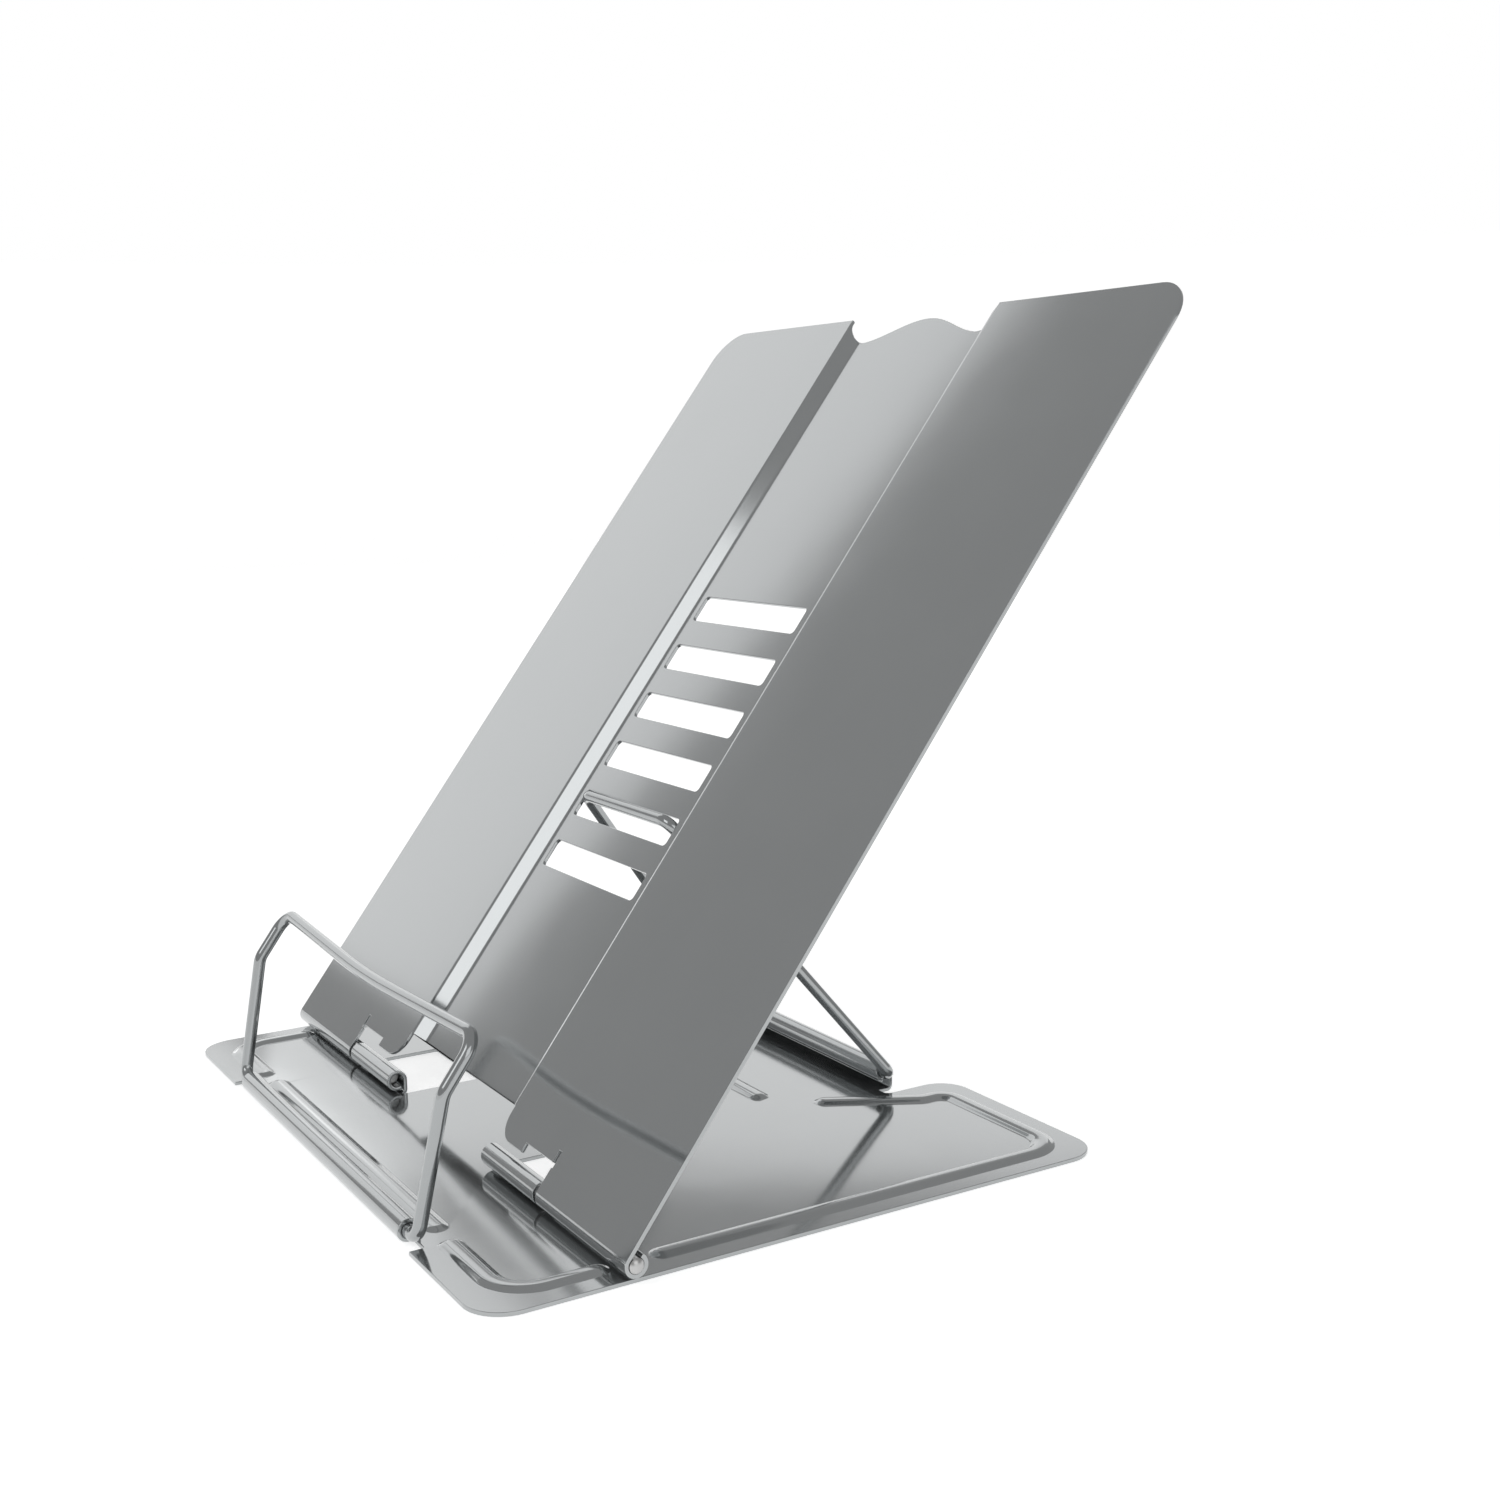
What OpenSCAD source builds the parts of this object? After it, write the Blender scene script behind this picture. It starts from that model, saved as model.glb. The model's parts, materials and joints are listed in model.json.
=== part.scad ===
// Folding metal book stand: a pressed sheet base, a pressed sheet back panel
// that turns on two short pins, a wire prop that hooks into one of six slots,
// and a wire page holder in a roll along the front edge.
// Millimetres. X runs to the reader's right, Y to the rear, Z up. The origin is
// the middle of the base plate's underside.

/* [Sheet and wire] */
// Thickness of the enamelled steel sheet
sheet_t = 1.0; // [0.8:0.1:1.4]
// Thickness of the two bent wires
wire_d = 3.2; // [2.6:0.1:3.8]
// Diameter of the hinge pins
pin_d = 3.4; // [2.8:0.1:4.0]
// Gap all round a pin or a wire inside its roll
roll_gap = 0.05; // [0.02:0.01:0.1]
// Inner radius of the sheet's sharp bends
bend_r = 0.6; // [0.3:0.1:1.2]

/* [Base plate] */
// Width of the base plate
base_w = 205; // [195:1:225]
// Depth of the base plate
base_d = 160; // [150:1:175]
// Radius of the base plate's four corners
base_corner_r = 9.5; // [6:0.5:14]
// Width of the recess between the two rear feet
recess_w = 83; // [80:1:92]
// Depth of the recess between the two rear feet
recess_d = 20; // [16:1:24]
// Radius of the recess's outer corners
recess_corner_r = 8; // [4:0.5:10]
// Radius of the recess's inner corners
recess_fillet_r = 1.5; // [0.5:0.5:2]

/* [Pressed beads] */
// Width of a bead at its foot
bead_w = 5.4; // [4:0.1:6.5]
// Height of a bead above the sheet
bead_h = 0.9; // [0.6:0.1:1.2]
// Distance from the plate's side edge to the middle of the side beads
side_bead_in = 7.8; // [6:0.1:10]
// Distance from the front edge to the middle of the corner beads
front_bead_in = 8.8; // [7:0.1:11]
// Distance from the rear edge to the middle of the rear beads
rear_bead_in = 7.6; // [6:0.1:10]
// Radius of a bead's bends, along its middle
bead_bend_r = 9; // [6:0.5:12]
// Length of the straight bead behind the front roll
lip_bead_l = 112; // [90:1:120]
// Distance from the front edge to the middle of that straight bead
lip_bead_in = 9.5; // [8.5:0.1:12]
// Distance from the plate's side edge to the inner end of the corner bead
corner_bead_reach = 36; // [30:1:40]
// Distance from the front edge to the rear end of the corner bead
corner_bead_end = 29; // [24:0.5:30]
// Distance from the front edge to the front end of the side bead
side_bead_start = 44.5; // [42:0.5:60]
// Length of the short bead across the middle of the plate
cross_bead_l = 49; // [30:1:60]
// Distance from the front edge to the bead across the middle
cross_bead_y = 111; // [100:1:116]
// Distance from the foot's inner edge to the bead that follows it
foot_bead_in = 8.9; // [7:0.1:11]
// How far the foot bead's slanted end moves towards the middle
foot_bead_slant = 12; // [6:0.5:14]
// Length of the foot bead's slanted end, front to back
foot_bead_run = 21; // [12:0.5:24]
// Length of the foot bead's straight stretch, front to back
foot_bead_straight = 1.5; // [0.5:0.5:4]

/* [Rolls and tabs] */
// Length of the front roll that holds the page holder
front_roll_l = 115.4; // [100:0.2:118]
// Width of the relief notch at each end of the front roll
roll_notch_w = 6.6; // [5:0.1:8]
// Depth of the relief notch at each end of the front roll
roll_notch_d = 3.4; // [2:0.1:5]
// Distance from the front edge to the hinge axis
hinge_y = 33.6; // [33:0.1:38]
// Height of the hinge axis above the sheet's upper face
hinge_rise = 3.4; // [3.2:0.1:5]
// Distance from the middle to the inner end of each hinge tab
tab_in = 30.9; // [28:0.1:34]
// Length of each hinge tab
tab_l = 28.6; // [24:0.1:30]
// Side gap between a hinge tab and the hole that it was cut from
tab_side_gap = 0.9; // [0.5:0.1:1.2]
// Depth of the hole behind each hinge tab
tab_hole_d = 20; // [14:0.5:24]
// Length of the rear roll that holds the prop
rear_roll_l = 76; // [60:1:76]
// Height of the rear roll's axis above the sheet's upper face
rear_rise = 4.5; // [4:0.1:6]
// Distance from the recess's edge back to the outside of the rear tab
rear_tab_out = 4.35; // [3:0.05:6]
// How far the front roll turns round the page holder's wire, in degrees
front_roll_angle = 300; // [270:5:315]
// How far a hinge tab turns round its pin, in degrees
tab_roll_angle = 300; // [270:5:315]
// How far the rear roll turns round the prop's wire, in degrees
rear_roll_angle = 260; // [240:5:300]
// How far the panel's own rolls turn round the pins, in degrees
panel_roll_angle = 275; // [260:5:280]

/* [Hinge pins] */
// Distance from the middle to the inner end of each pin
pin_in = 34.5; // [32:0.5:40]
// How far a pin's domed end stands out of the panel's roll
pin_proud = 0.9; // [0.6:0.1:1.6]
// Height of the dome on a pin's end
pin_dome_h = 0.8; // [0.4:0.1:1.2]

/* [Back panel] */
// Width of the back panel
panel_w = 208; // [200:1:220]
// Length of the back panel from the hinge axis to its top edge
panel_l = 249; // [225:1:270]
// Tilt of the panel from the table, in degrees
panel_tilt = 52.5; // [48:0.5:54]
// Radius of the panel's top corners
panel_corner_r = 11; // [4:0.5:16]
// Distance from the middle to the inner end of each of the panel's rolls
panel_roll_in = 61; // [60.8:0.1:64]
// Width of the relief slit at a roll's inner end
slit_w = 1.2; // [0.8:0.1:2]
// Length of the relief slit above a roll's inner end
slit_l = 3; // [2:0.5:5]
// Height of the edge beside a roll, over the hinge tab, from the hinge axis
tab_clear_s = 7; // [6:0.1:8]
// Width of that edge
tab_clear_w = 14.5; // [10:0.5:16]
// Height of the land's lower edge from the hinge axis
land_edge_s = 4.7; // [4.5:0.1:6]
// Height of the channel's lower edge from the hinge axis
channel_edge_s = 12.5; // [10:0.5:16]
// Radius of the land's lower inner corner
land_corner_r = 6; // [3:0.5:7]

/* [Channel] */
// Width of the channel's flat floor
floor_w = 56.8; // [54:0.1:60]
// Depth of the channel from the lands to its floor
channel_h = 2.75; // [1.5:0.05:4]
// Lean of the channel's side walls out of the panel, in degrees
wall_lean = 34.5; // [25:0.5:50]
// Bend radius where a land turns into the side wall, mid sheet
land_bend_r = 1.6; // [1:0.1:2.4]
// Bend radius where the side wall turns into the floor, mid sheet
floor_bend_r = 1.6; // [1:0.1:2.4]
// Width of the tongue on the channel's top edge
tongue_w = 51; // [40:0.5:56]
// Height of the tongue over the lowest places of the top edge beside it
tongue_h = 6.7; // [3:0.1:10]

/* [Slots] */
// Number of slots in the channel
slot_count = 6; // [5:1:7]
// Which slot the prop is hooked into, counted from the top
slot_used = 5; // [4:1:5]
// Distance from the hinge axis to the upper edge of the top slot
slot_top_s = 154.7; // [150:0.1:160]
// Distance from one slot to the next
slot_pitch = 15.74; // [14:0.01:16]
// Height of a slot
slot_h = 7.73; // [6.5:0.01:8]
// Width of a slot
slot_w = 51; // [50.2:0.1:54]
// Radius of a slot's corners
slot_corner_r = 1.2; // [0.5:0.1:2]

/* [Prop] */
// Length of the prop's top bar between the middles of its legs
prop_top_w = 46; // [40:1:50]
// Distance between the middles of the prop's legs at the rear roll
prop_foot_w = 82.6; // [82:0.2:88]
// Radius of the prop's upper bends, along the wire's middle
prop_top_r = 4; // [3:0.5:6]
// Radius of the prop's lower bends, along the wire's middle
prop_foot_r = 2.4; // [2:0.1:2.6]
// Gap between the top bar and the slot's upper edge
hook_gap = 0.3; // [0.2:0.1:0.6]
// How far the top bar's middle lies in front of the channel's floor
hook_proud = 1.0; // [0.6:0.1:1.6]

/* [Page holder] */
// Distance between the middles of the holder's legs at the roll
holder_foot_w = 126; // [124:1:132]
// Distance between the middles of the holder's legs at the top
holder_top_w = 130; // [124:1:136]
// Length of the lower part of a leg
holder_low_l = 32; // [24:0.5:40]
// Lean of the lower part of a leg from upright, in degrees
holder_low_lean = 11.5; // [5:0.5:20]
// Length of the upper part of a leg
holder_up_l = 13.9; // [8:0.1:20]
// Lean of the upper part of a leg from upright, in degrees
holder_up_lean = 36.5; // [25:0.5:45]
// How far the top bar sags at its middle
holder_sag = 2.4; // [1:0.1:4]
// Radius of the holder's lower bends, along the wire's middle
holder_foot_r = 3.6; // [2.6:0.1:4.5]
// Radius of the bend part way up a leg, along the wire's middle
holder_knee_r = 6; // [4:0.5:10]
// Radius of the holder's top corners, along the wire's middle
holder_top_r = 5; // [3:0.5:8]

/* [Hidden] */
$fn = 64;
// Cuts run this far past what they cut
over = sheet_t;
// A straight stretch enters the bend or end that it meets by this length, and
// the bend or end is that much stouter, so that the two join cleanly
join_in = wire_d / 64;
join_swell = wire_d / 160;
// Bores and outsides of the rolls
pin_bore_r = pin_d / 2 + roll_gap;
pin_roll_r = pin_bore_r + sheet_t;
wire_bore_r = wire_d / 2 + roll_gap;
wire_roll_r = wire_bore_r + sheet_t;
bend_out_r = bend_r + sheet_t;
// Front and rear edges of the base plate
front_y = -base_d / 2;
rear_y = base_d / 2;
// Axis of the hinge and of the two wires' rolls
hinge_at = [0, front_y + hinge_y, sheet_t + hinge_rise];
front_roll_at = [0, front_y + wire_roll_r, wire_roll_r];
recess_y = rear_y - recess_d;
rear_roll_at = [0, recess_y + rear_tab_out - wire_roll_r, sheet_t + rear_rise];
// A bead is part of a round bar's surface, with its hollow below
bead_r = (pow(bead_w / 2, 2) + pow(bead_h, 2)) / (2 * bead_h);
bead_axis_z = sheet_t + bead_h - bead_r;
// Middle lines of the beads
bead_side_x = base_w / 2 - side_bead_in;
bead_front_y = front_y + front_bead_in;
bead_rear_y = rear_y - rear_bead_in;
foot_bead_x = recess_w / 2 + foot_bead_in;
lip_bead_y = front_y + lip_bead_in;
// Bend of the foot bead's corner, and how far the panel's cutter reaches
foot_bend_r = bead_bend_r / 2;
panel_reach = 2 * pin_roll_r;
// The channel's section, along the middle of the sheet
land_e = pin_roll_r - sheet_t / 2;
floor_e = land_e - channel_h;
wall_bends_r = land_bend_r + floor_bend_r;
wall_l = (channel_h - wall_bends_r * (1 - cos(wall_lean))) / sin(wall_lean);
land_inner_x = floor_w / 2 + wall_bends_r * sin(wall_lean) + wall_l * cos(wall_lean);
bend_steps = 5;
tongue_steps = 12;
// The slot's upper edge that the prop's bar hooks under, and the bar's middle
hook_s = slot_top_s - (slot_used - 1) * slot_pitch - wire_d / 2 - hook_gap;
hook_e = floor_e + sheet_t / 2 + hook_proud;
hook_at = hinge_at + panel_point(hook_s, hook_e);
// The joints turn like this: the panel from here to 37.5 degrees further upright,
// the prop down by half of that, the page holder from 15 degrees back to 101 forward

function panel_point(s, e) = [
    0, s * cos(panel_tilt) - e * sin(panel_tilt), s * sin(panel_tilt) + e * cos(panel_tilt)
];
function unit(v) = v / norm(v);
// Where flat sheet ends and the bend of an upright tab starts, front to back
function bend_start_y(at, bore_r) = at[1] + bore_r + sheet_t - bend_out_r;
// A place on the sheet's middle line: across, out of the panel, slope in degrees
function arc_place(cx, ce, r, a) = [cx + r * cos(a), ce + r * sin(a)];
// Half of the section from the middle outwards, offset by d towards the reader
function section_half(d) = concat(
    [[0, floor_e + d]],
    [for (i = [0:bend_steps])
        arc_place(floor_w / 2, floor_e + floor_bend_r, floor_bend_r - d,
            wall_lean * i / bend_steps - 90)],
    [for (i = [0:bend_steps])
        arc_place(land_inner_x, land_e - land_bend_r, land_bend_r + d,
            wall_lean * (1 - i / bend_steps) + 90)],
    [[panel_w / 2, land_e + d]]
);
function mirrored(points) = [for (i = [len(points) - 1:-1:1]) [-points[i][0], points[i][1]]];
function section_line(d) = concat(mirrored(section_half(d)), section_half(d));
function reversed(points) = [for (i = [len(points) - 1:-1:0]) points[i]];
// How far the channel's top edge lies below the panel's: down beside the tongue,
// then up again in a quarter of an oval to the land's corner
function tongue_drop(x) = tongue_h * (1 - cos(180 * x / floor_w * 2)) / 2;
function top_edge_half() = concat(
    [for (i = [0:tongue_steps])
        let (x = tongue_w / 2 * i / tongue_steps) [x, panel_l - tongue_drop(x)]],
    [for (i = [1:tongue_steps])
        let (a = 90 * i / tongue_steps)
        [tongue_w / 2 + (land_inner_x - tongue_w / 2) * sin(a),
            panel_l - tongue_drop(tongue_w / 2) * cos(a)]]
);

// Stands a shape drawn in the YZ plane, and pulled out along X, at a start
module along_x(at) {
    translate(at) rotate([90, 0, 90]) children();
}

// Rolled sheet round an axis along X: it starts at angle a, where 0 is the rear,
// 90 the top and 180 the front, and runs on through turn degrees
module roll(at, x_from, l, bore_r, a, turn) {
    along_x([x_from, at[1], at[2]])
        rotate([0, 0, a])
            mirror([0, turn < 0 ? 1 : 0, 0])
                rotate_extrude(angle = abs(turn))
                    translate([bore_r, 0])
                        square([sheet_t, l]);
}

// Flat sheet that turns up in a sharp bend and ends in a roll over an axis
module upright_tab(at, x_from, l, bore_r, turn) {
    roll([0, bend_start_y(at, bore_r), bend_out_r], x_from, l, bend_r, -90, 90);
    translate([x_from, at[1] + bore_r, bend_out_r])
        cube([l, sheet_t, at[2] - bend_out_r]);
    roll(at, x_from, l, bore_r, 0, turn);
}

// A bead's section above level low, drawn across X with its height along Y
module bead_section(r, low) {
    intersection() {
        translate([0, bead_axis_z]) circle(r);
        translate([-bead_w, low]) square([2 * bead_w, bead_h + 2 * sheet_t]);
    }
}

module bead_half_section(r, low) {
    intersection() {
        bead_section(r, low);
        translate([0, low - over]) square([bead_w, bead_h + 2 * sheet_t + over]);
    }
}

// Straight stretch of a bead from p to q, with a round end where asked
module bead_run(p, q, r, low, round_p = false, round_q = false) {
    d = q - p;
    a = atan2(d[1], d[0]);
    translate([p[0], p[1], 0])
        rotate([0, 0, a])
            translate([-join_in, 0, 0])
                rotate([90, 0, 90])
                    linear_extrude(norm(d) + 2 * join_in)
                        bead_section(r, low);
    if (round_p) bead_end(p, a + 90, r, low);
    if (round_q) bead_end(q, a - 90, r, low);
}

// Round end of a bead at p, on the side that angle a starts from
module bead_end(p, a, r, low) {
    translate([p[0], p[1], 0])
        rotate([0, 0, a])
            rotate_extrude(angle = 180)
                bead_half_section(r + join_swell, low);
}

// Bend of a bead round the centre c, from angle a through turn degrees
module bead_turn(c, bend, a, turn, r, low) {
    translate([c[0], c[1], 0])
        rotate([0, 0, a])
            rotate_extrude(angle = turn)
                translate([bend, 0])
                    bead_section(r + join_swell, low);
}

// All the beads of one half of the base plate
module half_beads(r, low) {
    b = bead_bend_r;
    inner_x = base_w / 2 - corner_bead_reach;
    end_y = front_y + corner_bead_end;
    bead_run([inner_x, bead_front_y], [bead_side_x - b, bead_front_y], r, low, round_p = true);
    bead_turn([bead_side_x - b, bead_front_y + b], b, -90, 90, r, low);
    bead_run([bead_side_x, bead_front_y + b], [bead_side_x, end_y], r, low, round_q = true);
    start_y = front_y + side_bead_start;
    bead_run([bead_side_x, start_y], [bead_side_x, bead_rear_y - b], r, low, round_p = true);
    bead_turn([bead_side_x - b, bead_rear_y - b], b, 0, 90, r, low);
    f = foot_bend_r;
    bead_run([bead_side_x - b, bead_rear_y], [foot_bead_x + f, bead_rear_y], r, low);
    bead_turn([foot_bead_x + f, bead_rear_y - f], f, 90, 90, r, low);
    low_y = bead_rear_y - f - foot_bead_straight;
    bead_run([foot_bead_x, bead_rear_y - f], [foot_bead_x, low_y], r, low);
    slant_a = atan2(foot_bead_slant, foot_bead_run);
    bead_turn([foot_bead_x - f, low_y], f, -slant_a, slant_a, r, low);
    from = [foot_bead_x - f + f * cos(slant_a), low_y - f * sin(slant_a)];
    to = from - [foot_bead_slant, foot_bead_run];
    bead_run(from, to, r, low, round_q = true);
}

module all_beads(r, low) {
    half_beads(r, low);
    mirror([1, 0, 0]) half_beads(r, low);
    for (bead = [[lip_bead_l, lip_bead_y], [cross_bead_l, front_y + cross_bead_y]])
        bead_run([-bead[0] / 2, bead[1]], [bead[0] / 2, bead[1]], r, low, true, true);
}

// Rounds the outer corner of a flat shape: what lies outside a radius
module corner_off(at, r, sx, sy) {
    translate(at)
        scale([sx, sy])
            difference() {
                translate([-r, -r]) square([r + over, r + over]);
                translate([-r, -r]) circle(r);
            }
}

module base_outline() {
    half_w = base_w / 2;
    hole_y = bend_start_y(hinge_at, pin_bore_r);
    difference() {
        translate([-half_w, front_y]) square([base_w, base_d]);
        for (s = [-1, 1]) {
            corner_off([s * half_w, front_y], base_corner_r, s, -1);
            corner_off([s * half_w, rear_y], base_corner_r, s, 1);
            corner_off([s * recess_w / 2, rear_y], recess_corner_r, -s, 1);
            scale([s, 1])
                translate([tab_in - tab_side_gap, hole_y])
                    square([tab_l + 2 * tab_side_gap, tab_hole_d + bend_out_r]);
            scale([s, 1])
                translate([front_roll_l / 2, front_y - over])
                    square([roll_notch_w, roll_notch_d + over]);
        }
        // The recess, with small fillets in its inner corners
        difference() {
            translate([-recess_w / 2, recess_y]) square([recess_w, recess_d + over]);
            for (s = [-1, 1])
                scale([s, 1])
                    translate([recess_w / 2, recess_y])
                        difference() {
                            translate([-recess_fillet_r, 0]) square(recess_fillet_r);
                            translate([-recess_fillet_r, recess_fillet_r])
                                circle(recess_fillet_r);
                        }
        }
        // The front roll takes the sheet's edge along its length
        translate([-front_roll_l / 2, front_roll_at[1]])
            mirror([0, 1])
                square([front_roll_l, wire_roll_r + over]);
    }
}

module base_plate() {
    color("silver") {
        difference() {
            union() {
                linear_extrude(sheet_t) base_outline();
                all_beads(bead_r, sheet_t / 2);
            }
            all_beads(bead_r - sheet_t, -over);
        }
        roll(front_roll_at, -front_roll_l / 2, front_roll_l, wire_bore_r, 270, -front_roll_angle);
        for (x = [tab_in, -tab_in - tab_l])
            upright_tab(hinge_at, x, tab_l, pin_bore_r, tab_roll_angle);
        // The rear tab's sheet runs on a little way into the recess
        upright_tab(rear_roll_at, -rear_roll_l / 2, rear_roll_l, wire_bore_r, rear_roll_angle);
        rear_bend_y = bend_start_y(rear_roll_at, wire_bore_r);
        translate([-rear_roll_l / 2, rear_bend_y, 0])
            mirror([0, 1, 0])
                cube([rear_roll_l, rear_bend_y - recess_y + over, sheet_t]);
    }
}

// The panel's outline, across by up, with its slots
module panel_outline() {
    half_w = panel_w / 2;
    difference() {
        translate([-half_w, 0]) square([panel_w, panel_l]);
        for (s = [-1, 1]) {
            corner_off([s * half_w, panel_l], panel_corner_r, s, 1);
            // Over the hinge tab, then beside it
            scale([s, 1])
                translate([panel_roll_in - tab_clear_w, -over])
                    square([tab_clear_w, tab_clear_s + over]);
            scale([s, 1])
                translate([0, -over])
                    square([panel_roll_in - tab_clear_w + over, land_edge_s + over]);
            scale([s, 1])
                translate([panel_roll_in - slit_w / 2, tab_clear_s - over])
                    square([slit_w, slit_l + over]);
            // The channel's lower edge, with the land's rounded corner
            scale([s, 1])
                translate([0, -over])
                    square([land_inner_x, channel_edge_s + over]);
            corner_off([s * land_inner_x, land_edge_s], land_corner_r, -s, -1);
        }
        for (i = [0:slot_count - 1])
            translate([0, slot_top_s - i * slot_pitch - slot_h / 2])
                rounded_slot();
        // Over the channel's top edge, with the tongue left standing
        polygon(concat(mirrored(top_edge_half()), top_edge_half(),
            [[land_inner_x, panel_l + over], [-land_inner_x, panel_l + over]]));
    }
}

module rounded_slot() {
    inner = [slot_w - 2 * slot_corner_r, slot_h - 2 * slot_corner_r];
    square([slot_w, inner[1]], center = true);
    square([inner[0], slot_h], center = true);
    for (sx = [-1, 1], sy = [-1, 1])
        translate([sx * inner[0] / 2, sy * inner[1] / 2]) circle(slot_corner_r);
}

module back_panel() {
    color("slategray")
        translate(hinge_at)
            rotate([panel_tilt - 90, 0, 0]) {
                intersection() {
                    linear_extrude(panel_l)
                        scale([1, -1])
                            polygon(concat(section_line(sheet_t / 2),
                                reversed(section_line(-sheet_t / 2))));
                    rotate([90, 0, 0])
                        linear_extrude(2 * channel_h + panel_reach, center = true)
                            panel_outline();
                }
                for (x = [panel_roll_in, -panel_w / 2])
                    roll([0, 0, 0], x, panel_w / 2 - panel_roll_in, pin_bore_r, 180,
                        panel_roll_angle);
            }
}

// Straight pin with a domed outer end, on the reader's right
module hinge_pin() {
    outer_x = panel_w / 2 + pin_proud;
    dome_r = (pow(pin_d / 2, 2) + pow(pin_dome_h, 2)) / (2 * pin_dome_h);
    along_x([pin_in, hinge_at[1], hinge_at[2]])
        intersection() {
            cylinder(h = outer_x - pin_in, d = pin_d);
            union() {
                cylinder(h = outer_x - pin_in - pin_dome_h, d = 2 * pin_d);
                translate([0, 0, outer_x - pin_in - dome_r]) sphere(dome_r);
            }
        }
}

module right_hinge_pin() {
    color("gainsboro") hinge_pin();
}

module left_hinge_pin() {
    color("gainsboro") mirror([1, 0, 0]) hinge_pin();
}

// Carries a shape from the Z axis to a frame of three unit vectors at a point
module in_frame(at, u, v, w) {
    multmatrix([
        [u[0], v[0], w[0], at[0]],
        [u[1], v[1], w[1], at[1]],
        [u[2], v[2], w[2], at[2]],
        [0, 0, 0, 1]
    ]) children();
}

// The points of a loop are counted round, so that the last meets the first
function after(p, i) = p[(i + 1) % len(p)];
function before(p, i) = p[(i + len(p) - 1) % len(p)];
function turn_at(p, i) = acos(unit(p[i] - before(p, i)) * unit(after(p, i) - p[i]));
function tangent_l(p, r, i) = r[i] * tan(turn_at(p, i) / 2);
function side_of(w) = abs(w[0]) < 0.9 ? unit(cross([1, 0, 0], w)) : unit(cross([0, 1, 0], w));

// Loop of round wire along the points p, bent to the radius r[i] at each
module wire_loop(p, r) {
    for (i = [0:len(p) - 1]) {
        j = (i + 1) % len(p);
        w = unit(p[j] - p[i]);
        from = p[i] + w * (tangent_l(p, r, i) - join_in);
        to = p[j] - w * (tangent_l(p, r, j) - join_in);
        v = side_of(w);
        in_frame(from, cross(v, w), v, w) cylinder(h = norm(to - from), d = wire_d);
    }
    for (i = [0:len(p) - 1]) {
        a = unit(p[i] - before(p, i));
        b = unit(after(p, i) - p[i]);
        w = unit(cross(a, b));
        centre = p[i] + unit(b - a) * r[i] / cos(turn_at(p, i) / 2);
        u = unit(p[i] - a * tangent_l(p, r, i) - centre);
        in_frame(centre, u, cross(w, u), w)
            rotate_extrude(angle = turn_at(p, i))
                translate([r[i], 0]) circle(d = wire_d + 2 * join_swell);
    }
}

function mirror_path(p) = [for (i = [len(p) - 1:-1:0]) [-p[i][0], p[i][1], p[i][2]]];

module prop_wire() {
    half = [
        rear_roll_at + [prop_foot_w / 2, 0, 0],
        hook_at + [prop_top_w / 2, 0, 0]
    ];
    color("darkgray")
        wire_loop(concat(half, mirror_path(half)),
            [prop_foot_r, prop_top_r, prop_top_r, prop_foot_r]);
}

module page_holder() {
    low = holder_low_l * [0, sin(holder_low_lean), cos(holder_low_lean)];
    up = holder_up_l * [0, sin(holder_up_lean), cos(holder_up_lean)];
    sag = holder_sag * [0, -sin(holder_up_lean), -cos(holder_up_lean)];
    half = [
        front_roll_at + [holder_foot_w / 2, 0, 0],
        front_roll_at + [holder_top_w / 2, 0, 0] + low,
        front_roll_at + [holder_top_w / 2, 0, 0] + low + up
    ];
    radii = [holder_foot_r, holder_knee_r, holder_top_r];
    sag_r = pow(holder_top_w / 2, 2) / (4 * holder_sag);
    color("darkgray")
        wire_loop(concat(half, [front_roll_at + low + up + sag], mirror_path(half)),
            concat(radii, [sag_r], [for (i = [2:-1:0]) radii[i]]));
}

base_plate();
back_panel();
left_hinge_pin();
right_hinge_pin();
prop_wire();
page_holder();
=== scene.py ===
"""Folding metal book stand: pressed base, pressed back panel, two hinge pins and two bent wires.

Lengths are metres in the CAD frame: X to the reader's right, Y to the rear, Z up, with the
origin in the middle of the base plate's underside.
"""
import json
import math

import bpy
from mathutils import Matrix, Vector

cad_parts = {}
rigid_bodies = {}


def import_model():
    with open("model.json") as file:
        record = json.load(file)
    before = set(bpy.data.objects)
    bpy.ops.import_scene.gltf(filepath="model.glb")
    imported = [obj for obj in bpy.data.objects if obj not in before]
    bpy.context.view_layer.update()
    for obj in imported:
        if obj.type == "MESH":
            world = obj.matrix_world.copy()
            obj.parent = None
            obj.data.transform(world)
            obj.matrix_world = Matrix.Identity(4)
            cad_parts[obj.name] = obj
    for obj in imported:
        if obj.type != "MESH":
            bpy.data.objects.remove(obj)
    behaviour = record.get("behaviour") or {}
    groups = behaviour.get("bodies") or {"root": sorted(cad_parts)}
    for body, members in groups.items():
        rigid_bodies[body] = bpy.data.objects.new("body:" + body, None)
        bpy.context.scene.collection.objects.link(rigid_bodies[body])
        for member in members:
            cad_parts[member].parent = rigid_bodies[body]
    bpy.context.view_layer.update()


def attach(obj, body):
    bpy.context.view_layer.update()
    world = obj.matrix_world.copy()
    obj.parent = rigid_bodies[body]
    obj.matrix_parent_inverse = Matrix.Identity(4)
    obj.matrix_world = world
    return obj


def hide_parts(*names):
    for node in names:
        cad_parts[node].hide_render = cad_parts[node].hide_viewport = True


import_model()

MM = 0.001
SHEET = 1.0 * MM
WIRE_R = 1.6 * MM
PIN_R = 1.7 * MM
BEND_OUT_R = 1.6 * MM
EDGE_R = 0.2 * MM

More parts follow.
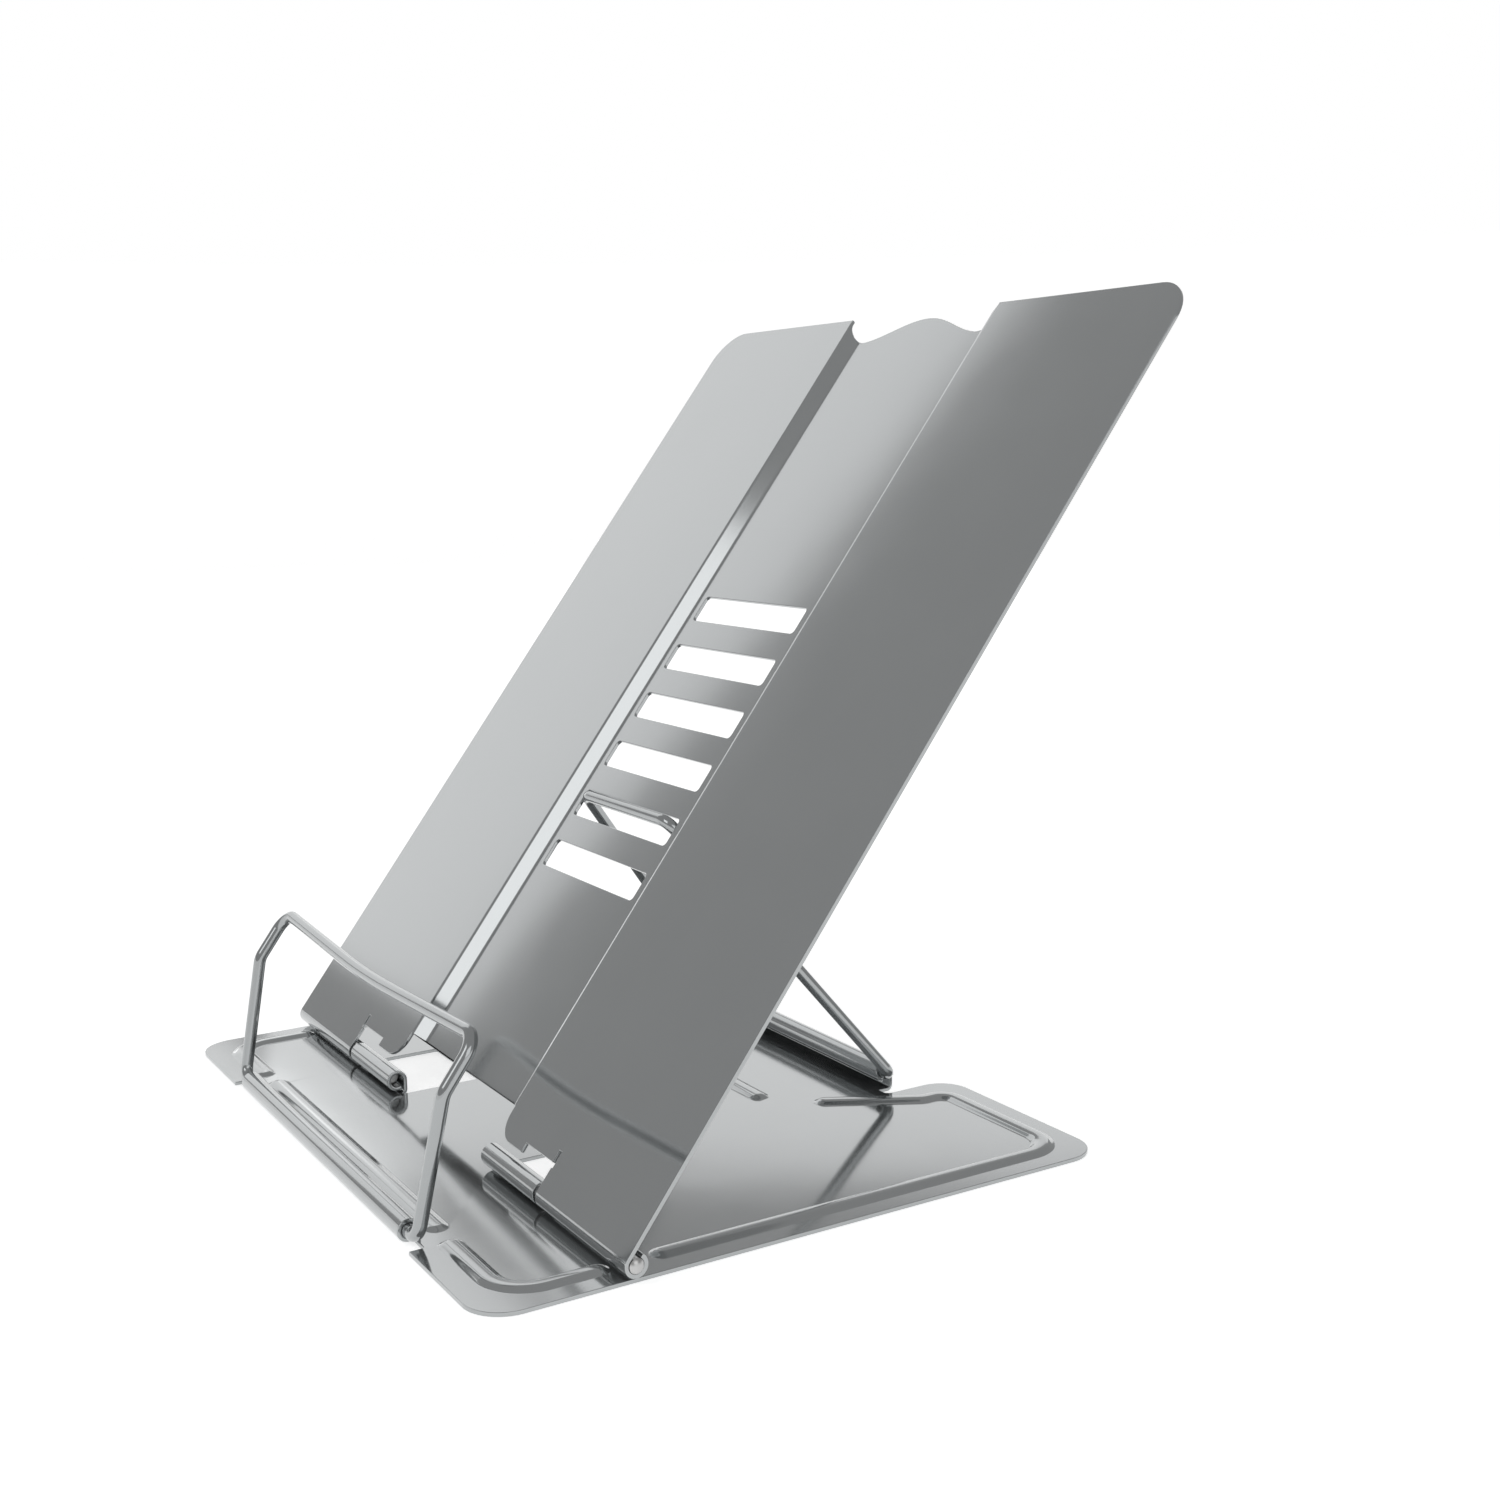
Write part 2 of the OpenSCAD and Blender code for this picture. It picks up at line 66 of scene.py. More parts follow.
BASE_W, BASE_D = 205 * MM, 160 * MM
HINGE_Y, HINGE_Z = -46.4, 4.4
HINGE = Vector((0, HINGE_Y, HINGE_Z)) * MM
FRONT_AXIS = Vector((0, -77.35, 2.65)) * MM
REAR_AXIS = Vector((0, 61.7, 5.5)) * MM
TILT = 52.5
PANEL_W, PANEL_L = 208 * MM, 249 * MM

# The holes that the hinge tabs are bent up from, in millimetres
HOLE_IN_X, HOLE_OUT_X, HOLE_FRONT_Y, HOLE_REAR_Y = 30, 60.4, -45.25, -23.65
TAB_IN_X, TAB_OUT_X, REAR_TAB_X = 30.9, 59.5, 38

# The panel across, in millimetres: E is the height of the sheet's middle over the hinge axis
FLOOR_E, LAND_E, FLOOR_X, LAND_X, WALL_LEAN = -0.5, 2.25, 28.4, 33.4, 34.5
CHANNEL_BEND_R, ROLL_X, PANEL_EDGE_X = 1.6, 61, 104
# Its lower edge: heights of the channel, of the lands and over the hinge tabs, and the slit by the roll
CHANNEL_FOOT, LAND_FOOT, TAB_FOOT, TAB_FOOT_X = 12.5, 4.7, 7, 46.5
SLIT_HALF_W, SLIT_LOW, SLIT_TOP = 0.6, 6, 10
SLOTS, SLOT_TOP, SLOT_PITCH, SLOT_H, SLOT_HALF_W, SLOT_R = 6, 154.7, 15.74, 7.73, 25.5, 1.2
# How far the cutters reach before and behind the hinge axis
REACH = 12

X, Y, Z = Vector((1, 0, 0)), Vector((0, 1, 0)), Vector((0, 0, 1))


# Tools
def deselect_all():
    for obj in bpy.context.view_layer.objects:
        obj.select_set(False)


def make_active(obj):
    deselect_all()
    obj.select_set(True)
    bpy.context.view_layer.objects.active = obj


def edit():
    bpy.ops.object.mode_set(mode="EDIT")


def leave_edit():
    bpy.ops.object.mode_set(mode="OBJECT")


def pick(obj, kind, test):
    """Selects the vertices, edges or faces of a mesh whose place passes a test, and enters edit mode."""
    if obj.mode == "EDIT":
        leave_edit()
    mesh = obj.data
    bpy.context.tool_settings.mesh_select_mode = tuple(kind == k for k in ("verts", "edges", "faces"))
    for part in (mesh.vertices, mesh.edges, mesh.polygons):
        part.foreach_set("select", [False] * len(part))
    count = 0
    if kind == "verts":
        for v in mesh.vertices:
            v.select = bool(test(v.co))
            count += v.select
    elif kind == "edges":
        for e in mesh.edges:
            a, b = (mesh.vertices[i].co for i in e.vertices)
            e.select = bool(test(a, b))
            count += e.select
    else:
        for f in mesh.polygons:
            f.select = bool(test(f.center, f.normal))
            count += f.select
    if not count:
        raise ValueError(f"nothing was picked on {obj.name}")
    edit()


def pick_flats(panel):
    """The lands and the channel's floor, front and back, while the panel stands upright."""
    pick(panel, "faces", lambda c, n: abs(n.y) > 0.9999)


def pick_all(obj):
    make_active(obj)
    edit()
    bpy.ops.mesh.select_all(action="SELECT")


def fill_outline(obj):
    """Closes a drawn outline with one face, and stays in edit mode."""
    pick_all(obj)
    bpy.ops.mesh.edge_face_add()


def extrude(step):
    bpy.ops.mesh.extrude_region_move(TRANSFORM_OT_translate={"value": tuple(step)})


def spin(centre, axis, degrees, steps):
    """Turns what is selected round an axis, counted right-handed, and leaves a surface behind it."""
    bpy.ops.mesh.spin(steps=steps, angle=-math.radians(degrees), center=tuple(centre), axis=tuple(axis))


def merge_doubles(obj, distance=0.002 * MM):
    if obj.mode != "EDIT":
        make_active(obj)
        edit()
    bpy.ops.mesh.select_all(action="SELECT")
    bpy.ops.mesh.remove_doubles(threshold=distance)
    bpy.ops.mesh.normals_make_consistent(inside=False)
    leave_edit()


def modify(obj, kind, **settings):
    make_active(obj)
    mod = obj.modifiers.new(kind.title(), kind)
    for name, value in settings.items():
        setattr(mod, name, value)
    bpy.ops.object.modifier_apply(modifier=mod.name)
    return obj


def cut(obj, cutter, how="DIFFERENCE"):
    modify(obj, "BOOLEAN", operation=how, object=cutter, solver="EXACT")
    bpy.data.objects.remove(cutter)


def join(objs):
    make_active(objs[0])
    for o in objs:
        o.select_set(True)
    bpy.ops.object.join()
    return objs[0]


def block(low, high):
    """A box between two corners, used only to cut with."""
    low, high = Vector(low) * MM, Vector(high) * MM
    deselect_all()
    bpy.ops.mesh.primitive_cube_add(size=1, location=(low + high) / 2)
    obj = bpy.context.object
    obj.scale = high - low
    settle(obj)
    return obj


def settle(obj):
    make_active(obj)
    bpy.ops.object.transform_apply(location=True, rotation=True, scale=True)


def mirrored_copy(obj):
    twin = obj.copy()
    twin.data = obj.data.copy()
    bpy.context.scene.collection.objects.link(twin)
    make_active(twin)
    twin.scale = (-1, 1, 1)
    settle(twin)
    merge_doubles(twin)
    return twin


def start_point(name, place):
    """A mesh of one vertex, to be drawn out into an outline."""
    deselect_all()
    bpy.ops.mesh.primitive_plane_add(size=MM, location=(0, 0, 0))
    obj = bpy.context.object
    obj.name = obj.data.name = name
    bpy.context.tool_settings.mesh_select_mode = (True, False, False)
    edit()
    bpy.ops.mesh.select_all(action="SELECT")
    bpy.ops.mesh.merge(type="CENTER")
    bpy.ops.transform.translate(value=tuple(place))
    return obj


def soften(obj, corners):
    """A small round on each sharp edge, as blanked and tumbled sheet has."""
    modify(obj, "BEVEL", width=EDGE_R, segments=2, limit_method="ANGLE",
           angle_limit=math.radians(38), use_clamp_overlap=False, miter_outer=corners)


def shade(obj, angle=32):
    """Even shading, with each vertex following the larger faces round it."""
    make_active(obj)
    bpy.ops.object.shade_smooth_by_angle(angle=math.radians(angle))
    modify(obj, "WEIGHTED_NORMAL", mode="FACE_AREA", weight=100, keep_sharp=True)


def base_outline():
    """Right half of the plate's outline from the front roll round to the recess, then mirrored."""
    half_w, front, rear = BASE_W / 2, -BASE_D / 2, BASE_D / 2
    r, foot_r, recess_r = 9.5 * MM, 8 * MM, 1.5 * MM
    # The front roll ends at a notch that clears the page holder's leg
    notch_out, notch_in, notch_y = (57.7 + 6.6) * MM, 57.7 * MM, front + 3.4 * MM
    foot_x, recess_y = 41.5 * MM, rear - 20 * MM
    plate = start_point("base_plate_sheet", (0, FRONT_AXIS.y, 0))
    extrude(X * notch_in)
    extrude(Y * (notch_y - FRONT_AXIS.y))
    extrude(X * (notch_out - notch_in))
    extrude(Y * (front - notch_y))
    extrude(X * (half_w - r - notch_out))
    spin((half_w - r, front + r, 0), Z, 90, 14)
    extrude(Y * (BASE_D - 2 * r))
    spin((half_w - r, rear - r, 0), Z, 90, 14)
    extrude(-X * (half_w - r - foot_x - foot_r))
    spin((foot_x + foot_r, rear - foot_r, 0), Z, 90, 12)
    extrude(-Y * (rear - foot_r - recess_y - recess_r))
    spin((foot_x - recess_r, recess_y + recess_r, 0), Z, -90, 6)
    extrude(-X * (foot_x - recess_r))
    merge_doubles(plate)
    fill_outline(plate)
    leave_edit()
    modify(plate, "MIRROR", use_axis=(True, False, False), merge_threshold=0.01 * MM)
    pick_all(plate)
    extrude(Z * SHEET)
    merge_doubles(plate)
    return plate


def tab_holes():
    """The holes that the hinge tabs were bent up from, with small rounds in their rear corners."""
    holes = []
    for x_from, x_to in ((-HOLE_OUT_X, -HOLE_IN_X), (HOLE_IN_X, HOLE_OUT_X)):
        hole = block((x_from, HOLE_FRONT_Y, -3), (x_to, HOLE_REAR_Y, 4))
        pick(hole, "edges", lambda a, b: abs(a.z - b.z) > MM and a.y > -30 * MM)
        bpy.ops.mesh.bevel(offset=0.8 * MM, segments=4)
        leave_edit()
        holes.append(hole)
    return join(holes)


def roll_up(plate, wall_y, x_from, x_to, at, turn, lead=0.0):
    """Bends a tab up from the wall of a hole, draws it up and rolls it over an axis."""
    def wall(room):
        return lambda c, n: (abs(c.y - wall_y) < 0.01 * MM and n.y > 0.9
                             and x_from - room < c.x < x_to + room)

    for x in (x_from, x_to):
        pick(plate, "faces", wall(3 * MM))
        bpy.ops.mesh.bisect(plane_co=(x, 0, 0), plane_no=(1, 0, 0))
    pick(plate, "faces", wall(0))
    if lead:
        extrude(Y * lead)
    spin((0, wall_y + lead, BEND_OUT_R), X, 90, 8)
    extrude(Z * (at.z - BEND_OUT_R))
    spin(at, X, turn, int(turn / 7.5))
    leave_edit()


def base_plate():
    plate = base_outline()
    cut(plate, tab_holes())
    merge_doubles(plate)
    # The hinge tabs, the rear tab and the front roll are one piece with the plate
    roll_up(plate, HOLE_FRONT_Y * MM, TAB_IN_X * MM, TAB_OUT_X * MM, HINGE, 300)
    roll_up(plate, HOLE_FRONT_Y * MM, -TAB_OUT_X * MM, -TAB_IN_X * MM, HINGE, 300)
    roll_up(plate, 60 * MM, -REAR_TAB_X * MM, REAR_TAB_X * MM, REAR_AXIS, 260, lead=2.75 * MM)
    pick(plate, "faces", lambda c, n: n.y < -0.9 and abs(c.y - FRONT_AXIS.y) < 0.01 * MM)
    spin(FRONT_AXIS, X, -300, 42)
    leave_edit()
    merge_doubles(plate)
    bead(plate)
    merge_doubles(plate)
    soften(plate, "MITER_ARC")
    shade(plate)
    return plate


# Half of a bead's section, across by height over the sheet's upper face
BEAD_HALF = [(0.55, 0.9), (1.05, 0.87), (1.45, 0.77), (1.8, 0.6), (2.15, 0.38), (2.5, 0.19),
             (2.8, 0.06), (3.15, -0.03)]


def bead_bar(name, place, heading, moves, low):
    """A bar with a bead's section and round ends, drawn along its path; its flat side lies in the sheet."""
    side = Vector((heading.y, -heading.x, 0))
    at = Vector((place[0] * MM, place[1] * MM, 0))
    bar = start_point(name, at + Z * (SHEET * 0.4 + low))

    # The half section on the right, from the middle of the underside to the middle of the top
    across, height = BEAD_HALF[-1][0] * MM, SHEET * 0.4
    extrude(side * across)
    for w, h in reversed(BEAD_HALF):
        extrude(side * (w * MM - across) + Z * (SHEET + h * MM - height))
        across, height = w * MM, SHEET + h * MM
    extrude(side * -across)
    bpy.ops.mesh.select_all(action="SELECT")
    spin(at, Z, -180, 14)
    leave_edit()
    merge_doubles(bar)
    # The open half of the end faces the path
    pick(bar, "verts", lambda v: abs((v - at).dot(heading)) < 0.01 * MM)
    for kind, *size in moves:
        if kind == "run":
            extrude(heading * size[0] * MM)
            at = at + heading * size[0] * MM
        else:
            radius, degrees = size[0] * MM, size[1]
            left = Vector((-heading.y, heading.x, 0))
            centre = at + left * radius * (1 if degrees > 0 else -1)
            spin(centre, Z, degrees, max(4, int(abs(degrees) / 6)))
            turn = Matrix.Rotation(math.radians(degrees), 3, "Z")
            at = centre + turn @ (at - centre)
            heading = turn @ heading
    leave_edit()
    left = Vector((-heading.y, heading.x, 0))
    pick(bar, "verts", lambda v: abs((v - at).dot(heading)) < 0.01 * MM
         and (v - at).length < 4.5 * MM and (v - at).dot(left) < 0.01 * MM)
    spin(at, Z, 180, 14)
    leave_edit()
    merge_doubles(bar)
    return bar


def bead(plate):
    """Presses the beads: the bars are added above, and cut one sheet lower below."""
    for low, how in ((0.0, "UNION"), (-SHEET, "DIFFERENCE")):
        slant = math.degrees(math.atan2(12, 21))
        side_x, front_y, rear_y, foot_x = 94.7, -71.2, 72.4, 50.4
        corner = bead_bar("corner_bead", (66.5, front_y), X, [
            ("run", side_x - 9 - 66.5), ("bend", 9, 90), ("run", -51 - front_y - 9)], low)
        side = bead_bar("side_bead", (side_x, -35.5), Y, [
            ("run", rear_y - 9 + 35.5), ("bend", 9, 90), ("run", side_x - 9 - foot_x - 4.5),
            ("bend", 4.5, 90), ("run", 1.5), ("bend", 4.5, -slant), ("run", math.hypot(12, 21))], low)
        lip = bead_bar("lip_bead", (-56, -70.5), X, [("run", 112)], low)
        cross = bead_bar("cross_bead", (-24.5, 31), X, [("run", 49)], low)
        bars = join([corner, side, mirrored_copy(corner), mirrored_copy(side), lip, cross])
        cut(plate, bars, how)


# Back panel
def panel_shell():
    """The panel's middle surface, standing upright over the hinge axis; the reader is at -Y."""
    def level(e):
        return HINGE.y - e * MM

    across, rise = math.cos(math.radians(WALL_LEAN)), math.sin(math.radians(WALL_LEAN))
    wall_l = (LAND_E - FLOOR_E - 2 * CHANNEL_BEND_R * (1 - across)) / rise
    up_wall = Vector((across, -rise, 0))
    shell = start_point("back_panel_sheet", (0, level(FLOOR_E), HINGE.z))
    extrude(Z * PANEL_L)
    bpy.ops.mesh.select_all(action="SELECT")
    # The flat floor, its bend, the leaning wall, the land's bend, the land
    extrude(X * FLOOR_X * MM)
    spin((FLOOR_X * MM, level(FLOOR_E + CHANNEL_BEND_R), 0), Z, -WALL_LEAN, 5)
    extrude(up_wall * wall_l * MM)
    spin((LAND_X * MM, level(LAND_E - CHANNEL_BEND_R), 0), Z, WALL_LEAN, 5)
    extrude(X * (ROLL_X - LAND_X) * MM)
    extrude(X * (PANEL_EDGE_X - ROLL_X) * MM)
    leave_edit()
    # The land's lower edge beyond the slit runs on into the roll round the hinge pin
    pick(shell, "edges", lambda a, b: abs(a.z - HINGE.z) < 0.01 * MM and abs(b.z - HINGE.z) < 0.01 * MM
         and min(a.x, b.x) > (ROLL_X - 0.1) * MM)
    spin(HINGE, X, 275, 38)
    merge_doubles(shell)
    modify(shell, "MIRROR", use_axis=(True, False, False), merge_threshold=0.01 * MM)
    merge_doubles(shell)
    # Split across over the slots and under them, so no face has to run round a hole
    for s in (200, 170, 60):
        edit()
        bpy.ops.mesh.select_all(action="SELECT")
        bpy.ops.mesh.bisect(plane_co=(0, 0, HINGE.z + s * MM), plane_no=(0, 0, 1))
        leave_edit()
    modify(shell, "SOLIDIFY", thickness=SHEET, offset=0.0, use_even_offset=True)
    merge_doubles(shell)
    return shell


def top_edge_cutter():
    """What is cut off over the channel: two dips, with a round tongue left between them."""
    def drop(x):
        return dip_depth * (1 - math.cos(math.pi * x / FLOOR_X)) / 2

    dip_depth, dip_x = 6.7, 25.5
    # A hair below the sheet's end, so the tongue's crest is cut too
    top = HINGE_Z + 248.98
    half = [(x, top - drop(x)) for x in [dip_x * (i + 0.5) / 14.5 for i in range(15)]]
    half += [(dip_x + (LAND_X - dip_x) * math.sin(a), top - drop(dip_x) * math.cos(a))
             for a in [math.pi / 2 * i / 12 for i in range(1, 13)]]
    outline = [(-x, z) for x, z in reversed(half)] + half + [(LAND_X, top + 3), (-LAND_X, top + 3)]
    at = outline[0]
    shape = start_point("top_edge_cutter", (at[0] * MM, (HINGE_Y - REACH) * MM, at[1] * MM))
    for x, z in outline[1:]:
        extrude(Vector((x - at[0], 0, z - at[1])) * MM)
        at = (x, z)
    bpy.ops.mesh.select_all(action="SELECT")
    bpy.ops.mesh.edge_face_add()
    extrude(Y * 2 * REACH * MM)
    leave_edit()
    merge_doubles(shape)
    return shape


def slot_cutter(s_top):
    """A slot with rounded corners, below the height of its upper edge."""
    slot = block((-SLOT_HALF_W, HINGE_Y - REACH, HINGE_Z + s_top - SLOT_H),
                 (SLOT_HALF_W, HINGE_Y + REACH, HINGE_Z + s_top))
    pick(slot, "edges", lambda a, b: abs(a.y - b.y) > MM)
    bpy.ops.mesh.bevel(offset=SLOT_R * MM, segments=5)
    leave_edit()
    return slot


def corner_cutter(x, z, r, sx, sz):
    """What lies outside a round corner at (x, z); sx and sz point into the sheet."""
    place = Vector((x, HINGE.y - REACH * MM, z))
    obj = start_point("corner_cutter", place - Vector((sx, 0, sz)) * MM)
    extrude(X * sx * (r + MM))
    extrude(Z * sz * MM)
    degrees = 90 if sx * sz > 0 else -90
    spin(place + Vector((sx * r, 0, sz * r)), Y, degrees, 12)
    extrude(X * -sx * MM)
    leave_edit()
    merge_doubles(obj)
    fill_outline(obj)
    extrude(Y * 2 * REACH * MM)
    leave_edit()
    merge_doubles(obj)
    return obj


def foot_cutter(x_from, x_to, height, low=-4):
    """What is cut off the panel's lower edge, up to a height over the hinge axis."""
    return block((x_from, HINGE_Y - REACH, HINGE_Z + low), (x_to, HINGE_Y + REACH, HINGE_Z + height))


def back_panel():
    panel = panel_shell()
    cutters = [slot_cutter(SLOT_TOP - SLOT_PITCH * i) for i in range(SLOTS)]
    cutters.append(top_edge_cutter())
    # The lower edge under the channel, under the lands and over the hinge tabs, just short of the roll
    tab_end = ROLL_X - 0.0001
    cutters.append(foot_cutter(-LAND_X, LAND_X, CHANNEL_FOOT))
    cutters.append(foot_cutter(-TAB_FOOT_X, TAB_FOOT_X, LAND_FOOT))
    cutters.append(foot_cutter(-tab_end, -TAB_FOOT_X, TAB_FOOT))
    cutters.append(foot_cutter(TAB_FOOT_X, tab_end, TAB_FOOT))
    for x in (-ROLL_X, ROLL_X):
        cutters.append(foot_cutter(x - SLIT_HALF_W, x + SLIT_HALF_W, SLIT_TOP, SLIT_LOW))
    for cutter in cutters:
        cut(panel, cutter)
    for side in (-1, 1):
        cut(panel, corner_cutter(side * PANEL_W / 2, HINGE.z + PANEL_L, 11 * MM, -side, -1))
        cut(panel, corner_cutter(side * LAND_X * MM, HINGE.z + LAND_FOOT * MM, 6 * MM, side, 1))
    merge_doubles(panel)
    soften(panel, "MITER_SHARP")
    merge_doubles(panel)
    pick_flats(panel)
    bpy.ops.mesh.quads_convert_to_tris(ngon_method="BEAUTY")
    leave_edit()
    shade(panel)
    pick_flats(panel)
    bpy.ops.mesh.set_normals_from_faces(keep_sharp=True)
    bpy.ops.mesh.select_all(action="SELECT")
    bpy.ops.transform.rotate(value=-math.radians(TILT - 90), orient_axis="X", center_override=tuple(HINGE))
    leave_edit()
    return panel


# Pins and wires
def hinge_pin():
    """A short pin, turned round its own axis from half of its outline."""
    inner, outer = 34.5 * MM, 104.9 * MM
    pin = start_point("hinge_pin", HINGE + X * inner)
    chamfer = 0.25 * MM
    extrude(Z * (PIN_R - chamfer))
    extrude(Vector((chamfer, 0, chamfer)))
    extrude(X * (outer - inner - 0.8 * MM - chamfer))
    dome_h = 0.8 * MM
    dome_r = (PIN_R ** 2 + dome_h ** 2) / (2 * dome_h)
    spin(HINGE + X * (outer - dome_r), Y, math.degrees(math.asin(PIN_R / dome_r)), 8)
    bpy.ops.mesh.select_all(action="SELECT")
    spin(HINGE, X, 360, 40)
    merge_doubles(pin)
    shade(pin, 30)
    return pin


def unit(v):
    return v / v.length


def bent_wire(name, points, radii):
    """A closed loop of round wire through points, bent to a radius at each."""
    n = len(points)
    tangents = []
    for i in range(n):
        a, b = unit(points[i] - points[i - 1]), unit(points[(i + 1) % n] - points[i])
        tangents.append(radii[i] * math.tan(a.angle(b) / 2))
    start = (points[-1] + points[0]) / 2
    heading = unit(points[0] - points[-1])
    deselect_all()
    turn = heading.to_track_quat("Z", "Y").to_euler()
    bpy.ops.mesh.primitive_circle_add(vertices=28, radius=WIRE_R, location=start, rotation=turn)
    wire = bpy.context.object
    wire.name = wire.data.name = name
    settle(wire)
    edit()
    bpy.ops.mesh.select_all(action="SELECT")
    at = start
    for i in range(n):
        p, after = points[i], points[(i + 1) % n]
        run = (p - at).length - tangents[i]
        extrude(heading * run)
        ahead = unit(after - p)
        bend = math.degrees(heading.angle(ahead))
        axis = unit(heading.cross(ahead))
        enter = p - heading * tangents[i]
        centre = enter + unit(axis.cross(heading)) * radii[i]
        spin(centre, axis, bend, max(6, int(bend / 5)))
        at = p + ahead * tangents[i]
        heading = ahead
    extrude(start - at)
    merge_doubles(wire, 0.01 * MM)
    shade(wire, 60)
    return wire


def loop_points(half):
    return half + [Vector((-p.x, p.y, p.z)) for p in reversed(half)]


def prop_wire():
    foot_r, top_r = 2.4 * MM, 4 * MM
    # The top bar's end, where the bar lies in the fifth slot
    half = [REAR_AXIS + X * 41.3 * MM, Vector((23, 7.498, 76.284)) * MM]
    return bent_wire("prop_wire_bent", loop_points(half), [foot_r, top_r, top_r, foot_r])


def page_holder():
    def leg(l, lean):
        return Vector((0, math.sin(math.radians(lean)), math.cos(math.radians(lean)))) * l * MM

    foot_x, top_x, sag, lower_lean, upper_lean = 63, 65, 2.4, 11.5, 36.5
    knee = FRONT_AXIS + X * top_x * MM + leg(32, lower_lean)
    top = knee + leg(13.9, upper_lean)
    dip = Vector((0, top.y, top.z)) - leg(sag, upper_lean)
    half = [FRONT_AXIS + X * foot_x * MM, knee, top]
    points = half + [dip] + [Vector((-p.x, p.y, p.z)) for p in reversed(half)]
    radii = [3.6, 6, 5, top_x ** 2 / (4 * sag), 5, 6, 3.6]
    return bent_wire("page_holder_bent", points, [r * MM for r in radii])


# Materials
class Value:
    """A number that varies over a surface: Python's operators add Math nodes."""
    def __init__(self, paint, socket):
        self.paint, self.socket = paint, socket

    def _maths(self, how, a, b):
        return self.paint.node("ShaderNodeMath", {"operation": how}, {0: a, 1: b}, "Value")

    def __add__(self, o): return self._maths("ADD", self, o)
    def __sub__(self, o): return self._maths("SUBTRACT", self, o)
    def __mul__(self, o): return self._maths("MULTIPLY", self, o)
    def __radd__(self, o): return self._maths("ADD", o, self)
    def __rsub__(self, o): return self._maths("SUBTRACT", o, self)
    def __rmul__(self, o): return self._maths("MULTIPLY", o, self)


class Paint:
    """One material, and the ways to add nodes to it."""
    def __init__(self, name):
        self.material = bpy.data.materials.new(name)
        self.material.use_nodes = True
        self.tree = self.material.node_tree
        self.shader = self.tree.nodes["Principled BSDF"]
        self.place = self.node("ShaderNodeTexCoord", {}, {}, "Object")

    def node(self, kind, settings, inputs, output=0):
        n = self.tree.nodes.new(kind)
        for key, value in settings.items():
            setattr(n, key, value)
        for key, value in inputs.items():
            self.feed(n.inputs[key], value)
        return Value(self, n.outputs[output])

    def feed(self, socket, value):
        if isinstance(value, Value):
            self.tree.links.new(value.socket, socket)
        else:
            socket.default_value = value

    def set(self, **values):
        for name, value in values.items():
            self.feed(self.shader.inputs[name.replace("_", " ")], value)

    def noise(self, scale, detail, rough):
        return self.node("ShaderNodeTexNoise", {}, {
            "Vector": self.place, "Scale": scale, "Detail": detail, "Roughness": rough}, "Fac")

    def mix(self, share, a, b):
        return self.node("ShaderNodeMix", {"data_type": "RGBA"}, {0: share, 6: a, 7: b}, 2)

    def bump(self, height, distance, strength):
        inputs = {"Height": height, "Distance": distance, "Strength": strength}
        return self.node("ShaderNodeBump", {}, inputs, "Normal")


def rgb(r, g, b):
    return (r, g, b, 1)


def enamel(name, colour, darker, roughness):
    """Gloss stoving enamel: a cloudy, finely speckled tone, orange peel and slow ripples."""
    paint = Paint(name)
    cloud = paint.noise(28, 3, 0.55)
    speck = paint.noise(700, 1, 0.5)
    paint.set(Base_Color=paint.mix(cloud * 0.7 + speck * 0.3, rgb(*darker), rgb(*colour)))
    paint.set(Roughness=roughness + (cloud - 0.5) * 0.05)
    peel = paint.noise(420, 1, 0.5)
    ripple = paint.noise(40, 1, 0.4)
    paint.set(Normal=paint.bump(peel * 0.006 + ripple, 0.00004, 0.5))
    paint.set(Metallic=0.85, IOR=1.5, Coat_Weight=0.3, Coat_Roughness=0.08, Coat_IOR=1.5)
    return paint.material


def bare_steel():
    """Drawn steel rod: fine marks round it and a slightly uneven shine."""
    paint = Paint("bare_steel")
    mark = paint.noise(1400, 2, 0.6)
    cloud = paint.noise(120, 2, 0.5)
    paint.set(Base_Color=paint.mix(cloud, rgb(0.42, 0.42, 0.42), rgb(0.62, 0.62, 0.61)))
    paint.set(Roughness=0.24 + mark * 0.14, Metallic=1.0)
    paint.set(Normal=paint.bump(mark, 0.00002, 0.5))
    return paint.material


# The stand
def finish_piece(obj, name, material, body, node):
    obj.name = obj.data.name = name
    obj.data.materials.clear()
    obj.data.materials.append(material)
    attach(obj, body)
    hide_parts(node)


sheet_enamel = enamel("grey_enamel", (0.44, 0.455, 0.46), (0.41, 0.425, 0.43), 0.1)
wire_enamel = enamel("grey_enamel_on_wire", (0.40, 0.415, 0.42), (0.37, 0.385, 0.39), 0.1)
steel = bare_steel()

finish_piece(base_plate(), "base_plate_pressed", sheet_enamel, "base", "base_plate")
finish_piece(back_panel(), "back_panel_pressed", sheet_enamel, "panel", "back_panel")
right_pin = hinge_pin()
left_pin = mirrored_copy(right_pin)
shade(left_pin, 30)
finish_piece(right_pin, "right_hinge_pin_turned", steel, "base", "right_hinge_pin")
finish_piece(left_pin, "left_hinge_pin_turned", steel, "base", "left_hinge_pin")
finish_piece(prop_wire(), "prop_wire_bent", wire_enamel, "prop", "prop_wire")
finish_piece(page_holder(), "page_holder_bent", wire_enamel, "holder", "page_holder")


